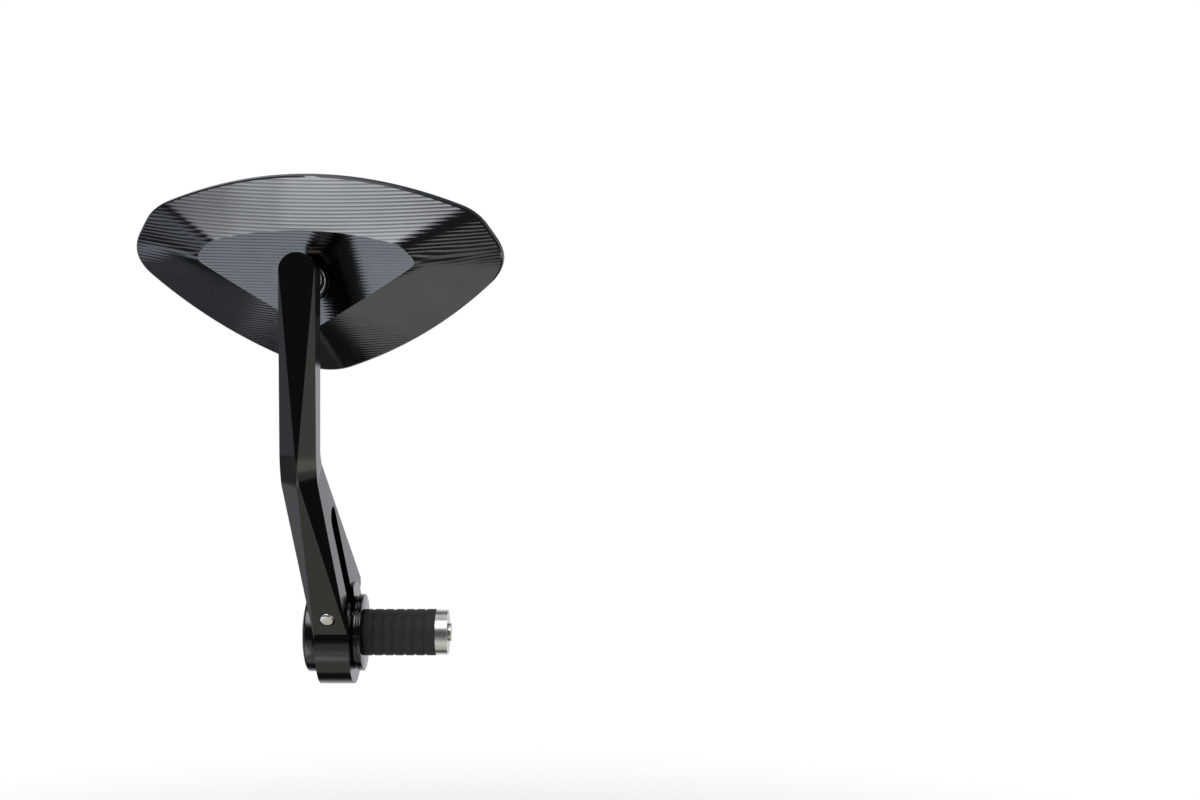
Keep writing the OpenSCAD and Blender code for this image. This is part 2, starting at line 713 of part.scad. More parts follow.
// Convex glass, flat where it meets the tape and part of a large sphere behind
module mirror_glass() {
    glass_n = seat_n - tape_t;
    lens_r = tip_x + 2;
    lens = [for (i = [0:16]) let (r = lens_r * i / 16)
        [r, glass_n - glass_t + glass_r - sqrt(glass_r * glass_r - r * r)]];
    color("#b9c4cc") at_head() intersection() {
        outline_plate(glass_n - glass_t, glass_n, bezel_w + glass_gap);
        on_normal() rotate_extrude()
            polygon(concat(lens, [[lens_r, glass_n + clear], [0, glass_n + clear]]));
    }
}

spigot();
spacer_ring();
end_cap();
centre_bolt();
lock_washer();
expander_plug();
expander_nut();
arm();
pinch_screw();
ball_stud();
stud_washer();
ball_seat();
socket_cup();
closing_ring();
mirror_shell();
slip_washer();
wave_washer();
retaining_ring();
foam_tape();
mirror_glass();
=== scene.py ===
import math

import bmesh
import bpy
import numpy as np
from mathutils import Matrix, Vector


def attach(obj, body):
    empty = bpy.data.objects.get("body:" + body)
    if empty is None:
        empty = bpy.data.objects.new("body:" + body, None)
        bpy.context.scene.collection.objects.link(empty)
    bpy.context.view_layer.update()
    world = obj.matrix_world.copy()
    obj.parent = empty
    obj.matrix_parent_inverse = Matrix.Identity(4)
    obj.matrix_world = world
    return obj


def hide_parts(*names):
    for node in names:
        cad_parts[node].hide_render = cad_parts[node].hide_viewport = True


# Bar end mirror: faceted billet head on a ball joint, bent clamp arm, turned fitting for the end of a
# handlebar. Metres, in the part's own frame: +X along the bar, +Y towards the rider, +Z up.

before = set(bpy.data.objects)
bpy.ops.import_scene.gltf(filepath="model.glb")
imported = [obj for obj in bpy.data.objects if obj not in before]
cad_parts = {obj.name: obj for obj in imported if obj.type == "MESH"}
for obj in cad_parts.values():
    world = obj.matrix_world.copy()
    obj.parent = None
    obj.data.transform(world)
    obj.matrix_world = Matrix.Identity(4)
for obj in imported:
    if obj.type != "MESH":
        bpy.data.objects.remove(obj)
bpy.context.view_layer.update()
MM = 0.001

# ---------------------------------------------------------------- sizes, in millimetres
BALL = Vector((-13.3, -31.0, 117.5))      # centre of the ball joint
HEAD_PITCH, HEAD_YAW, HEAD_SPIN = 23.4, 10.0, -2.1

TIP, SHOULDER, CROWN, CHIN = (64.3, 3.5), (54.15, 19.2), 30.8, 36.6
FLAT_TIP, FLAT_SHOULDER, FLAT_CROWN, FLAT_CHIN = (36.8, 6.0), (31.6, 11.9), 16.1, 17.2
LOWER_BOW, FLAT_BOW = 5.0, 0.3
TIP_ROUND, SHOULDER_ROUND, CHIN_ROUND, FLAT_ROUND = 9.0, 5.0, 8.0, 3.0
CORNER_STEPS, SHOULDER_STEPS, LOW_STEPS, CROWN_STEPS = 24, 16, 40, 60   # points along the outline
FLAT_RISE = 10.4                          # raised flat above the front edge of the rim
FLAT_N = 3.0                              # level of the raised flat in front of the ball centre
RIM_T = 2.8                               # height of the side wall of the head
RIM_CHAMFER = 0.45                        # chamfer along the front edge of the side wall
BEZEL_W = 1.8                             # rim round the glass
GLASS_SEAT = 2.6                          # depth of the glass seat
GLASS_GAP, GLASS_T, GLASS_R, TAPE_T = 0.3, 2.6, 1200.0, 0.6
GLASS_EDGE_BREAK, GLASS_BACK_BREAK, GLASS_FRONT_SHARE = 0.2, 0.35, 0.995
# rings of points on the back of the glass, as shares of its outline
GLASS_RINGS = [0.985] + list(np.linspace(0.94, 0, 16))[:-1]
CHAMFER_H, RIM_BACK_BREAK, BEZEL_BREAK = 0.35, 0.3, 0.2
TAPE_MARGIN = 1.0                         # from the edge of the glass to the edge of the foam
TAPE_EDGE_IN, TAPE_EDGE_UP = 0.12, 0.15   # soft edge of the foam, inwards and along its thickness
TAPE_HOLE_GAP = 0.2                       # between the foam and the ring groove
RIM_N = FLAT_N - FLAT_RISE                # levels of the rim's front edge, the back and the glass seat
BACK_N = RIM_N - RIM_T
SEAT_N = BACK_N + GLASS_SEAT
ROW_STEP, ROW_DEPTH = 1.0, 0.028          # ball cutter's step and the depth of its scallops
FLAT_ROW_SHARE = 0.84                     # rows on the raised flat have this share of the depth
LAND_W, LAND_FADE = 0.75, 0.6             # unmilled land round the bore, and where the rows fade in
LINES_PER_ROW = 8                         # mesh lines in one scallop
FLAT_COLUMNS, FACET_COLUMNS = 14, 42      # mesh columns in half a line, on the flat and on the facets
CROWDING = 0.02                           # least distance of two points on the edge of the front face
END_INSET = 0.01                          # first and last line, inwards from the ends of the edge
END_ROOM = 0.2                            # least room beside them, as a share of the lines' step
FLAT_LIMIT = 0.98                         # the flat takes at most this share of a line
FRONT_MARGIN, LEVEL_MARGIN = 0.2, 0.01    # tell the front face's points, and those of the flat
NOSE_BORE, FLANGE_BORE, CLIP_GROOVE = 7.45, 9.65, 10.35
NOSE_FLARE = 2.25                         # the bore's 45 degree mouth, two overshoots and EDGE_BREAK
WALL_N, CLIP_N, CLIP_T = 1.1, -5.6, 0.8   # levels of the bore's shoulder and of the ring groove

EDGE_BREAK = 0.25                         # broken edges of the arm and of the bore's mouth
SHARP_DEG = 24.0                          # edges of the arm sharper than this are broken
LEAN = 35.0                               # lean of the arm's lower length
ARM_W, ARM_OFFSET, FRONT_FACE, REACH = 11.2, 4.6, 13.0, 55.0
UPPER_T, BEND_T, LUG_T, BEND_R = 11.1, 13.1, 34.0, 20.0
BEVEL_DEPTH, BACK_BREAK = 2.6, 0.8
LEAST_BEVEL, MOST_BEVEL = 0.03, 0.97      # limits of a bevel's share of its full depth
RING_JOIN = 0.65                          # height where the clamp ring takes over, of its radius
BEND_STEPS = 24
CLAMP_R, CLAMP_X0, CLAMP_X1 = 17.0, -14.3, -3.1
LUG_FOOT, HEEL_CHAMFER = 5.5, 3.0
SLOT_HALF, SLOT_END = 3.9, 53.0
PINCH_H, PINCH_HOLE_R, PINCH_HEAD_R, PINCH_HEAD_LEN, PINCH_SUNK = 17.4, 2.7, 4.35, 5.0, 0.4
SCREW_HEAD_R, SCREW_R, SCREW_SOCKET_R, SCREW_SOCKET_DEPTH = 4.25, 2.5, 2.3, 2.5
SCREW_CHAMFER_X, SCREW_TIP_X, SCREW_TIP_R = 13.0, 13.6, 1.9
BAR_BORE_R, CAP_RELIEF_R, STUD_HOLE_R, STUD_HOLE_LEN = 10.05, 13.4, 3.05, 8.5
OVERSHOOT = 1.0                           # of a cut past the face that it opens

BOLT_HOLE_R, SLEEVE_R, SLEEVE_X0 = 3.1, 10.0, -14.4
COLLAR_R, COLLAR_X0, COLLAR_GROOVE, COLLAR_GROOVE_R = 12.8, -1.6, (-1.05, -0.55), 12.4
SPACER_R, SPACER_X0 = 12.2, -3.0
CAP_R, CAP_X0, CAP_FACE_R, CAP_POCKET_R, CAP_POCKET_X = 13.0, -19.7, 9.0, 5.1, -15.4
CAP_CONE_FOOT, CAP_EDGE_X = (-18.8, 12.4), -18.2
PLUG_R, PLUG_LEN, PLUG_MOUTH_R, PLUG_THROAT_R, PLUG_THROAT_X = 7.75, 24.0, 6.9, 4.65, 16.0
PLUG_GROOVES, PLUG_GROOVE_DEPTH = (3, 6.5, 10, 13.5, 17, 20.5), 0.25
PLUG_GROOVE_HALF, PLUG_GROOVE_FLOOR = 0.55, 0.25   # half its width at its top and at its floor

BALL_R, NECK_R, STUD_R = 5.5, 2.5, 3.0
STUD_END, STUD_SHOULDER = -20.4, -10.5    # ends of the thread, from the ball centre
FLATS_X, FLATS_R = (-12.1, -9.5), 4.6     # spanner hexagon, and its radius over the corners
POLISHED_TO = -4.8                        # the stud is browned beyond here
BALL_STEPS, POCKET_STEPS = 40, 24         # points along the arcs of the ball and of its pocket
POCKET_R, MOUTH_R, MOUTH_X = 6.15, 5.95, 2.55      # ball pocket and the chamfer round its mouth
CUP_BORE_R, CUP_FLANGE_R, CUP_NOSE_R = 7.55, 9.6, 7.4
CUP_BACK, CUP_SHOULDER, CUP_FRONT, CUP_SEAM = -5.1, 0.8, 3.0, -0.3
CUP_BARE, BARE_R = 2.5, 6.02              # the cup is bare in front of here and within this radius


def linear(hex_colour):
    """sRGB hex to the linear colour that the shaders take."""
    rgb = [int(hex_colour[i:i + 2], 16) / 255 for i in (1, 3, 5)]
    return [c / 12.92 if c <= 0.04045 else ((c + 0.055) / 1.055) ** 2.4 for c in rgb] + [1.0]


def node(tree, kind, links=None, values=None, **settings):
    """Adds a node: settings are properties, values go to free inputs, links to linked ones."""
    made = tree.nodes.new(kind)
    for name, value in settings.items():
        setattr(made, name, value)
    for key, value in (values or {}).items():
        made.inputs[key].default_value = value
    for key, socket in (links or {}).items():
        tree.links.new(socket, made.inputs[key])
    return made


def maths_in(tree):
    """A function that adds maths nodes to the tree, on sockets or plain numbers."""
    def maths(operation, a, b=None):
        links, values = {}, {}
        for index, value in enumerate((a, b)):
            if value is not None:
                (values if isinstance(value, (int, float)) else links)[index] = value
        return node(tree, "ShaderNodeMath", links, values, operation=operation).outputs[0]
    return maths


# ---------------------------------------------------------------- finishes
def finish(name, colour, metallic, roughness, **shader_values):
    """A new material, its node tree, its Principled shader and its object coordinates."""
    material = bpy.data.materials.new(name)
    material.use_nodes = True
    tree = material.node_tree
    shader = tree.nodes["Principled BSDF"]
    shader.inputs["Base Color"].default_value = linear(colour)
    shader.inputs["Metallic"].default_value = metallic
    shader.inputs["Roughness"].default_value = roughness
    for key, value in shader_values.items():
        shader.inputs[key.replace("_", " ")].default_value = value
    place = node(tree, "ShaderNodeTexCoord").outputs["Object"]
    return material, tree, shader, place


def roughness_from(tree, shader, pattern, low, high):
    spread = node(tree, "ShaderNodeMapRange", {"Value": pattern}, {"To Min": low, "To Max": high})
    tree.links.new(spread.outputs["Result"], shader.inputs["Roughness"])


def bump_from(tree, shader, pattern, height_mm):
    bump = node(tree, "ShaderNodeBump", {"Height": pattern}, {"Distance": height_mm * MM})
    tree.links.new(bump.outputs["Normal"], shader.inputs["Normal"])


def tinted_by(tree, shader, pattern, dark, light):
    ramp = node(tree, "ShaderNodeValToRGB", {"Fac": pattern})
    ramp.color_ramp.elements[0].color = linear(dark)
    ramp.color_ramp.elements[1].color = linear(light)
    tree.links.new(ramp.outputs["Color"], shader.inputs["Base Color"])


def speckle(tree, place, size_mm, detail=3.0, stretch=(1, 1, 1), turn=(0, 0, 0)):
    """Noise whose grains are about size_mm across, longer along the axes with a small stretch."""
    mapping = node(tree, "ShaderNodeMapping", {"Vector": place}, {"Scale": stretch, "Rotation": turn})
    grain = node(tree, "ShaderNodeTexNoise", {"Vector": mapping.outputs["Vector"]},
                 {"Scale": 1 / (size_mm * MM), "Detail": detail, "Roughness": 0.6})
    return grain.outputs["Fac"]


def black_anodised_milled():
    """Dyed oxide over bright milled aluminium: a dark mirror with the cutter's fine feed marks."""
    material, tree, shader, place = finish("black_anodised_milled_aluminium", "#54565a", 1.0, 0.12,
                                           Specular_Tint=linear("#d0d1d5"))
    head_turn = tuple(math.radians(a) for a in (-HEAD_PITCH, 0, HEAD_YAW))
    feed = speckle(tree, place, 0.12, 2.0, (0.04, 1, 1), head_turn)   # feed marks run along the rows
    roughness_from(tree, shader, feed, 0.09, 0.16)
    tinted_by(tree, shader, speckle(tree, place, 9.0, 2.0), "#525457", "#5a5c5f")
    bump_from(tree, shader, feed, 0.0006)
    return material


def black_anodised_brushed():
    """Dyed oxide over a linished face: the arm keeps fine lines along its length."""
    material, tree, shader, place = finish("black_anodised_brushed_aluminium", "#3a3a3a", 1.0, 0.16,
                                           Specular_Tint=linear("#dcdde1"))
    lines = speckle(tree, place, 0.16, 3.0, (1, 1, 0.03))
    peel = speckle(tree, place, 0.35, 2.0)
    roughness_from(tree, shader, lines, 0.12, 0.2)
    tinted_by(tree, shader, peel, "#363637", "#3e3e3e")
    bump_from(tree, shader, maths_in(tree)("ADD", lines, peel), 0.0012)
    return material


WAVE_BAND = 0.314                         # length of one band of a wave texture whose scale is 1
TURNED_RINGS = 0.3                        # millimetres from one turned ring to the next


def black_anodised_turned():
    """Dyed oxide over a lathe-turned face: fine rings round the bar axis."""
    material, tree, shader, place = finish("black_anodised_turned_aluminium", "#403f40", 1.0, 0.16,
                                           Specular_Tint=linear("#dcdde1"))
    rings = node(tree, "ShaderNodeTexWave", {"Vector": place},
                 {"Scale": WAVE_BAND / (TURNED_RINGS * MM), "Distortion": 0.6, "Detail": 2.0},
                 wave_type="BANDS", bands_direction="X")
    roughness_from(tree, shader, rings.outputs["Fac"], 0.12, 0.2)
    tinted_by(tree, shader, speckle(tree, place, 4.0, 2.0), "#3b3b3c", "#454546")
    bump_from(tree, shader, rings.outputs["Fac"], 0.001)
    return material


def bright_steel(name, colour, low, high, grain_mm):
    """Plated or polished steel: bright, with the faint grain of its finish."""
    material, tree, shader, place = finish(name, colour, 1.0, low)
    grain = speckle(tree, place, grain_mm)
    roughness_from(tree, shader, grain, low, high)
    bump_from(tree, shader, grain, 0.003)
    return material


def moulded(name, colour, low, high, grain_mm, grain_height, ior=1.5):
    """Moulded rubber, foam or acetal: matt, with the texture of its mould."""
    material, tree, shader, place = finish(name, colour, 0.0, low, IOR=ior)
    grain = speckle(tree, place, grain_mm)
    roughness_from(tree, shader, grain, low, high)
    bump_from(tree, shader, grain, grain_height)
    return material


def silvered_glass():
    """First sight of silver under clear glass: nearly all light comes back, a touch cool."""
    material, tree, shader, place = finish("silvered_convex_glass", "#e6eaec", 1.0, 0.02)
    film = speckle(tree, place, 14.0, 2.0)
    roughness_from(tree, shader, film, 0.015, 0.03)
    return material


def ground_glass_edge():
    """Ground edge of float glass: green and satin."""
    material, tree, shader, place = finish("ground_float_glass_edge", "#5f7f72", 0.0, 0.4, IOR=1.52)
    bump_from(tree, shader, speckle(tree, place, 0.2), 0.01)
    return material


milled = black_anodised_milled()
brushed = black_anodised_brushed()
turned = black_anodised_turned()
zinc = bright_steel("zinc_plated_steel", "#b9bab8", 0.22, 0.36, 0.5)
polished = bright_steel("polished_ball_steel", "#d8d4cc", 0.06, 0.12, 0.8)
browned = bright_steel("browned_turned_steel", "#5d5046", 0.25, 0.36, 0.4)
spring = bright_steel("phosphated_spring_steel", "#4c4b4a", 0.4, 0.55, 0.3)
bare = bright_steel("bare_turned_aluminium", "#c9cacb", 0.12, 0.2, 0.3)
rubber = moulded("moulded_plug_rubber", "#1d1d1e", 0.62, 0.8, 0.35, 0.02)
foam = moulded("closed_cell_foam_tape", "#2c2c2d", 0.85, 0.95, 0.3, 0.06)
acetal = moulded("moulded_black_acetal", "#1a1a1b", 0.34, 0.44, 0.5, 0.004, 1.48)
sheet = moulded("skived_slip_sheet", "#dcdbd2", 0.4, 0.5, 0.6, 0.004, 1.38)
silvered = silvered_glass()
glass_edge = ground_glass_edge()


# ---------------------------------------------------------------- mesh helpers
MERGE, SLIVER = 0.0005, 0.0003            # points and edges closer or shorter than this become one
ON_AXIS = 1e-6                            # radii below this count as none
NEARLY_STRAIGHT = -0.985                  # cosine between the sides of a corner that is left alone
MOST_OF_SIDE = 0.45                       # of a side that one rounded corner may take


def made_object(name, verts, faces):
    """A mesh object from points in millimetres."""
    mesh = bpy.data.meshes.new(name)
    mesh.from_pydata([Vector(v) * MM for v in verts], [], faces)
    made = bpy.data.objects.new(name, mesh)
    bpy.context.scene.collection.objects.link(made)
    return made


def applied(thing):
    """Makes the result of the modifiers the plain mesh."""
    graph = bpy.context.evaluated_depsgraph_get()
    mesh = bpy.data.meshes.new_from_object(thing.evaluated_get(graph))
    thing.modifiers.clear()
    thing.data = mesh
    return mesh


def settled(thing, smooth_deg=30.0):
    """Applies the modifiers, merges doubles and shades all but the sharp edges smooth."""
    mesh = applied(thing)
    work = bmesh.new()
    work.from_mesh(mesh)
    bmesh.ops.remove_doubles(work, verts=work.verts, dist=MERGE * MM)
    bmesh.ops.dissolve_degenerate(work, edges=work.edges, dist=SLIVER * MM)
    for face in work.faces:
        face.smooth = True
    limit = math.radians(smooth_deg)
    for edge in work.edges:
        edge.smooth = len(edge.link_faces) == 2 and edge.calc_face_angle(0) < limit
    work.to_mesh(mesh)
    work.free()
    return thing


def cut(thing, tool, operation="DIFFERENCE"):
    """Takes tool out of thing, or joins it on, and removes the tool."""
    boolean = thing.modifiers.new("cut", "BOOLEAN")
    boolean.operation, boolean.object, boolean.solver = operation, tool, "EXACT"
    applied(thing)
    bpy.data.objects.remove(tool)
    return thing


def outward(thing):
    """Merges doubles and turns all faces outwards."""
    work = bmesh.new()
    work.from_mesh(thing.data)
    bmesh.ops.remove_doubles(work, verts=work.verts, dist=MERGE * MM)
    bmesh.ops.recalc_face_normals(work, faces=work.faces)
    work.to_mesh(thing.data)
    work.free()
    return thing


def fitted(piece, body, slot, node_name, *materials):
    """Gives a piece its finish and its body, and hides the CAD node that it stands for."""
    shares = [face.material_index for face in piece.data.polygons]
    piece.data.materials.clear()
    for material in materials:
        piece.data.materials.append(material)
    for face, share in zip(piece.data.polygons, shares):
        face.material_index = min(share, len(materials) - 1)
    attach(piece, body)
    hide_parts(node_name)
    return piece


def eased(profile, width, steps=2):
    """A closed profile whose corners are rounded off by width where there is room."""
    out = []
    count = len(profile)
    for i, p in enumerate(profile):
        a, p, b = (np.array(profile[(i + k) % count], float) for k in (-1, 0, 1))
        before, after = np.linalg.norm(p - a), np.linalg.norm(b - p)
        turn = (a - p) @ (b - p) / (before * after)
        if turn < NEARLY_STRAIGHT or p[1] < ON_AXIS:
            out.append(p)
            continue
        w = min(width, before * MOST_OF_SIDE, after * MOST_OF_SIDE)
        start, end = p + (a - p) * w / before, p + (b - p) * w / after
        for k in range(steps + 1):
            t = k / steps
            out.append(start * (1 - t) ** 2 + 2 * p * t * (1 - t) + end * t * t)
    return out


def lathe(name, profile, place, segments=96, ease=0.2):
    """A closed profile of (along, radius) points turned round the local X axis, put in place."""
    points = eased(profile, ease) if ease else [np.array(p, float) for p in profile]
    verts, faces = [], []
    for k in range(segments):
        a = 2 * math.pi * k / segments
        verts += [place @ Vector((p[0], p[1] * math.cos(a), p[1] * math.sin(a))) for p in points]
    n = len(points)
    for k in range(segments):
        for i in range(n):
            a, b = k * n + i, k * n + (i + 1) % n
            c, d = ((k + 1) % segments) * n + (i + 1) % n, ((k + 1) % segments) * n + i
            if points[i][1] < ON_AXIS and points[(i + 1) % n][1] < ON_AXIS:
                continue
            faces.append((a, b, c, d))
    return outward(made_object(name, verts, faces))


def bands(loops, count):
    """Quads between closed loops of count points each."""
    return [(k * count + i, k * count + (i + 1) % count, (k + 1) * count + (i + 1) % count,
             (k + 1) * count + i) for k in range(loops - 1) for i in range(count)]


def hexagon(name, corner_r, x0, x1, place):
    """Six-sided prism along the local X axis."""
    verts = [place @ Vector((x, corner_r * math.cos(a), corner_r * math.sin(a)))
             for x in (x0, x1) for a in (math.pi / 3 * k for k in range(6))]
    faces = [tuple(range(6)), tuple(range(11, 5, -1))]
    faces += [(k, 6 + k, 6 + (k + 1) % 6, (k + 1) % 6) for k in range(6)]
    return outward(made_object(name, verts, faces))


BAR = Matrix.Identity(4)                  # local X along the bar
PITCHED = Matrix.Translation(BALL) @ Matrix.Rotation(math.radians(HEAD_PITCH), 4, "X")
SOCKET = PITCHED @ Matrix.Rotation(math.radians(-HEAD_YAW), 4, "Z")
HEAD = SOCKET @ Matrix.Rotation(math.radians(HEAD_SPIN), 4, "Y")
HEAD_FROM_MM = Matrix.Scale(MM, 4) @ HEAD @ Matrix.Scale(1 / MM, 4)
ALONG_NORMAL = Matrix.Rotation(math.radians(-90), 4, "Z")   # local X to the head's front normal
STUD = Matrix.Translation(BALL) @ Matrix.Rotation(math.radians(90), 4, "Z")   # local X to +Y
ALONG = Vector((0, -math.sin(math.radians(LEAN)), math.cos(math.radians(LEAN))))
AHEAD = Vector((0, -math.cos(math.radians(LEAN)), -math.sin(math.radians(LEAN))))
CLAMP_MID = (CLAMP_X0 + CLAMP_X1) / 2
BEND_C = (BEND_R - REACH, (BEND_R - FRONT_FACE - math.cos(math.radians(LEAN)) * (BEND_R - REACH))
          / math.sin(math.radians(LEAN)))
BEND_H = BEND_C[0] * ALONG.y + BEND_C[1] * ALONG.z
LUG_SLOPE = (LUG_T - BEND_T) / (BEND_H - LUG_FOOT)
PINCH_X = CLAMP_MID - ARM_OFFSET * (PINCH_H - LUG_FOOT) / (BEND_H - LUG_FOOT)
# depth of the seat of the screw's head, behind the plane of the bar axis
PINCH_SEAT = LUG_T - FRONT_FACE - LUG_SLOPE * (PINCH_H - LUG_FOOT) - PINCH_HEAD_LEN - PINCH_SUNK
LEANING = Matrix.Rotation(math.radians(LEAN), 4, "X")
# local X forward along the pinch screw
PINCH = (Matrix.Translation(Vector((PINCH_X, 0, 0)) + ALONG * PINCH_H) @ LEANING
         @ Matrix.Rotation(math.radians(-90), 4, "Z"))


# ---------------------------------------------------------------- outline and front face of the head
def bezier(a, p, b, steps):
    t = np.linspace(0, 1, steps + 1)[:, None]
    return np.array(a) * (1 - t) ** 2 + np.array(p) * 2 * t * (1 - t) + np.array(b) * t * t


def half_outline(tip, shoulder, crown, chin, low_bow, r_tip, r_shoulder, r_chin):
    """Right half of an outline from its bottom to its top, as in the part's source but finer."""
    tip, shoulder, bottom = np.array(tip), np.array(shoulder), np.array((0.0, -chin))
    run = tip - bottom
    low_len = np.linalg.norm(run)

    def low(t):
        t = np.atleast_1d(t)[:, None]
        return bottom + run * t + 4 * low_bow * t * (1 - t) * np.array((run[1], -run[0])) / low_len

    def high(t):
        t = np.atleast_1d(t)
        return np.stack([shoulder[0] * (1 - t), crown - (crown - shoulder[1]) * (1 - t) ** 2], 1)

    a, b = low(r_chin / low_len)[0], low(1 - r_tip / low_len)[0]
    side = (shoulder - tip) / np.linalg.norm(shoulder - tip)
    e = r_shoulder / shoulder[0]
    return np.concatenate([
        bezier((-a[0], a[1]), bottom, a, CORNER_STEPS)[CORNER_STEPS // 2:],
        low(np.linspace(r_chin / low_len, 1 - r_tip / low_len, LOW_STEPS)[1:-1]),
        bezier(b, tip, tip + side * r_tip, CORNER_STEPS),
        bezier(shoulder - side * r_shoulder, shoulder, high(e)[0], SHOULDER_STEPS),
        high(np.linspace(e, 1, CROWN_STEPS)[1:])])


def drawn_in(half, w):
    """The half outline moved inwards by w."""
    along = np.gradient(half, axis=0)
    along /= np.linalg.norm(along, axis=1)[:, None]
    moved = half + w * np.stack([-along[:, 1], along[:, 0]], 1)
    moved[0, 0] = moved[-1, 0] = 0
    return moved


def mirrored(half):
    """Closed outline from its right half."""
    return np.concatenate([half, np.stack([-half[-2:0:-1, 0], half[-2:0:-1, 1]], 1)])


rim_half = half_outline(TIP, SHOULDER, CROWN, CHIN, LOWER_BOW, TIP_ROUND, SHOULDER_ROUND, CHIN_ROUND)
flat_half = half_outline(FLAT_TIP, FLAT_SHOULDER, FLAT_CROWN, FLAT_CHIN, FLAT_BOW, FLAT_ROUND,
                         FLAT_ROUND, FLAT_ROUND)


def reach_at(half, angle):
    return np.interp(angle, np.arctan2(half[:, 1], half[:, 0]), np.hypot(half[:, 0], half[:, 1]))


def fall(x, z):
    """Fall of the front face below the raised flat."""
    angle = np.arctan2(z, np.maximum(np.abs(x), 1e-3))
    inner, outer = reach_at(flat_half, angle), reach_at(rim_half, angle)
    return FLAT_RISE * np.clip((np.hypot(x, z) - inner) / (outer - inner), 0, 1)


def head_blank():
    """Head before its rows are milled: lined front face, chamfer, side wall, bezel and glass seat."""
    edge = drawn_in(rim_half, RIM_CHAMFER)
    low, high = edge[0, 1] + END_INSET, edge[-1, 1] - END_INSET
    first_ridge = rim_half[0, 1]
    step = ROW_STEP / LINES_PER_ROW
    inner_lines = np.arange(math.ceil((low - first_ridge) / step + END_ROOM),
                            (high - first_ridge) / step - END_ROOM)
    heights = np.concatenate([[low], first_ridge + inner_lines * step, [high]])
    rows = []
    for z in heights:
        w = np.interp(z, edge[:, 1], edge[:, 0])
        beside_flat = flat_half[0, 1] < z < flat_half[-1, 1]
        flat_w = np.interp(z, flat_half[:, 1], flat_half[:, 0]) if beside_flat else 0
        f = min(flat_w, w * FLAT_LIMIT)
        half = np.concatenate([np.linspace(0, f, FLAT_COLUMNS + 1),
                               np.linspace(f, w, FACET_COLUMNS + 1)[1:]])
        x = np.concatenate([-half[:0:-1], half])
        rows.append(np.stack([x, fall(x, np.full_like(x, z)) - FLAT_N, np.full_like(x, z)], 1))
    grid = np.array(rows)
    m, n = grid.shape[:2]
    verts = [tuple(p) for p in grid.reshape(-1, 3)]
    faces = [(j * n + i, j * n + i + 1, (j + 1) * n + i + 1, (j + 1) * n + i)
             for j in range(m - 1) for i in range(n - 1)]
    ring = (list(range(n)) + [j * n + n - 1 for j in range(1, m)]
            + [(m - 1) * n + i for i in range(n - 2, -1, -1)] + [j * n for j in range(m - 2, 0, -1)])
    flat_ring = np.array([(verts[i][0], verts[i][2]) for i in ring])
    kept = [0]
    ahead = np.roll(flat_ring, -1, 0)
    # crowded points, and those within a level end row, become one point
    for k in range(1, len(ring)):
        level = flat_ring[k - 1, 1] == flat_ring[k, 1] == ahead[k, 1]
        if not level and np.linalg.norm(flat_ring[k] - flat_ring[kept[-1]]) > CROWDING:
            kept.append(k)
        else:
            verts[ring[k]] = verts[ring[kept[-1]]]
    ring, flat_ring = [ring[k] for k in kept], flat_ring[kept]
    along = np.roll(flat_ring, -1, 0) - np.roll(flat_ring, 1, 0)
    along /= np.linalg.norm(along, axis=1)[:, None]
    out = np.stack([along[:, 1], -along[:, 0]], 1)

    levels = [(RIM_CHAMFER, RIM_N - CHAMFER_H), (RIM_CHAMFER, BACK_N + RIM_BACK_BREAK),
              (RIM_CHAMFER - RIM_BACK_BREAK, BACK_N), (RIM_CHAMFER - BEZEL_W + BEZEL_BREAK, BACK_N),
              (RIM_CHAMFER - BEZEL_W, BACK_N + BEZEL_BREAK), (RIM_CHAMFER - BEZEL_W, SEAT_N)]
    last = ring
    for offset, level in levels:
        points = flat_ring + out * offset
        start = len(verts)
        verts += [(x, -level, z) for x, z in points]
        new = list(range(start, start + len(points)))
        faces += [(last[k], new[k], new[(k + 1) % len(new)], last[(k + 1) % len(new)])
                  for k in range(len(new))]
        last = new
    faces.append(tuple(last))
    blank = outward(made_object("milled_head", verts, faces))
    front = blank.data.attributes.new("milled", "FLOAT", "POINT")
    ys = np.array([v.co.y for v in blank.data.vertices])
    on_flat, behind_front = ys < -(FLAT_N - LEVEL_MARGIN) * MM, ys > -(RIM_N - FRONT_MARGIN) * MM
    shares = np.where(behind_front, 0.0, np.where(on_flat, FLAT_ROW_SHARE, 1.0))
    front.data.foreach_set("value", shares.astype(np.float32))
    return blank, first_ridge


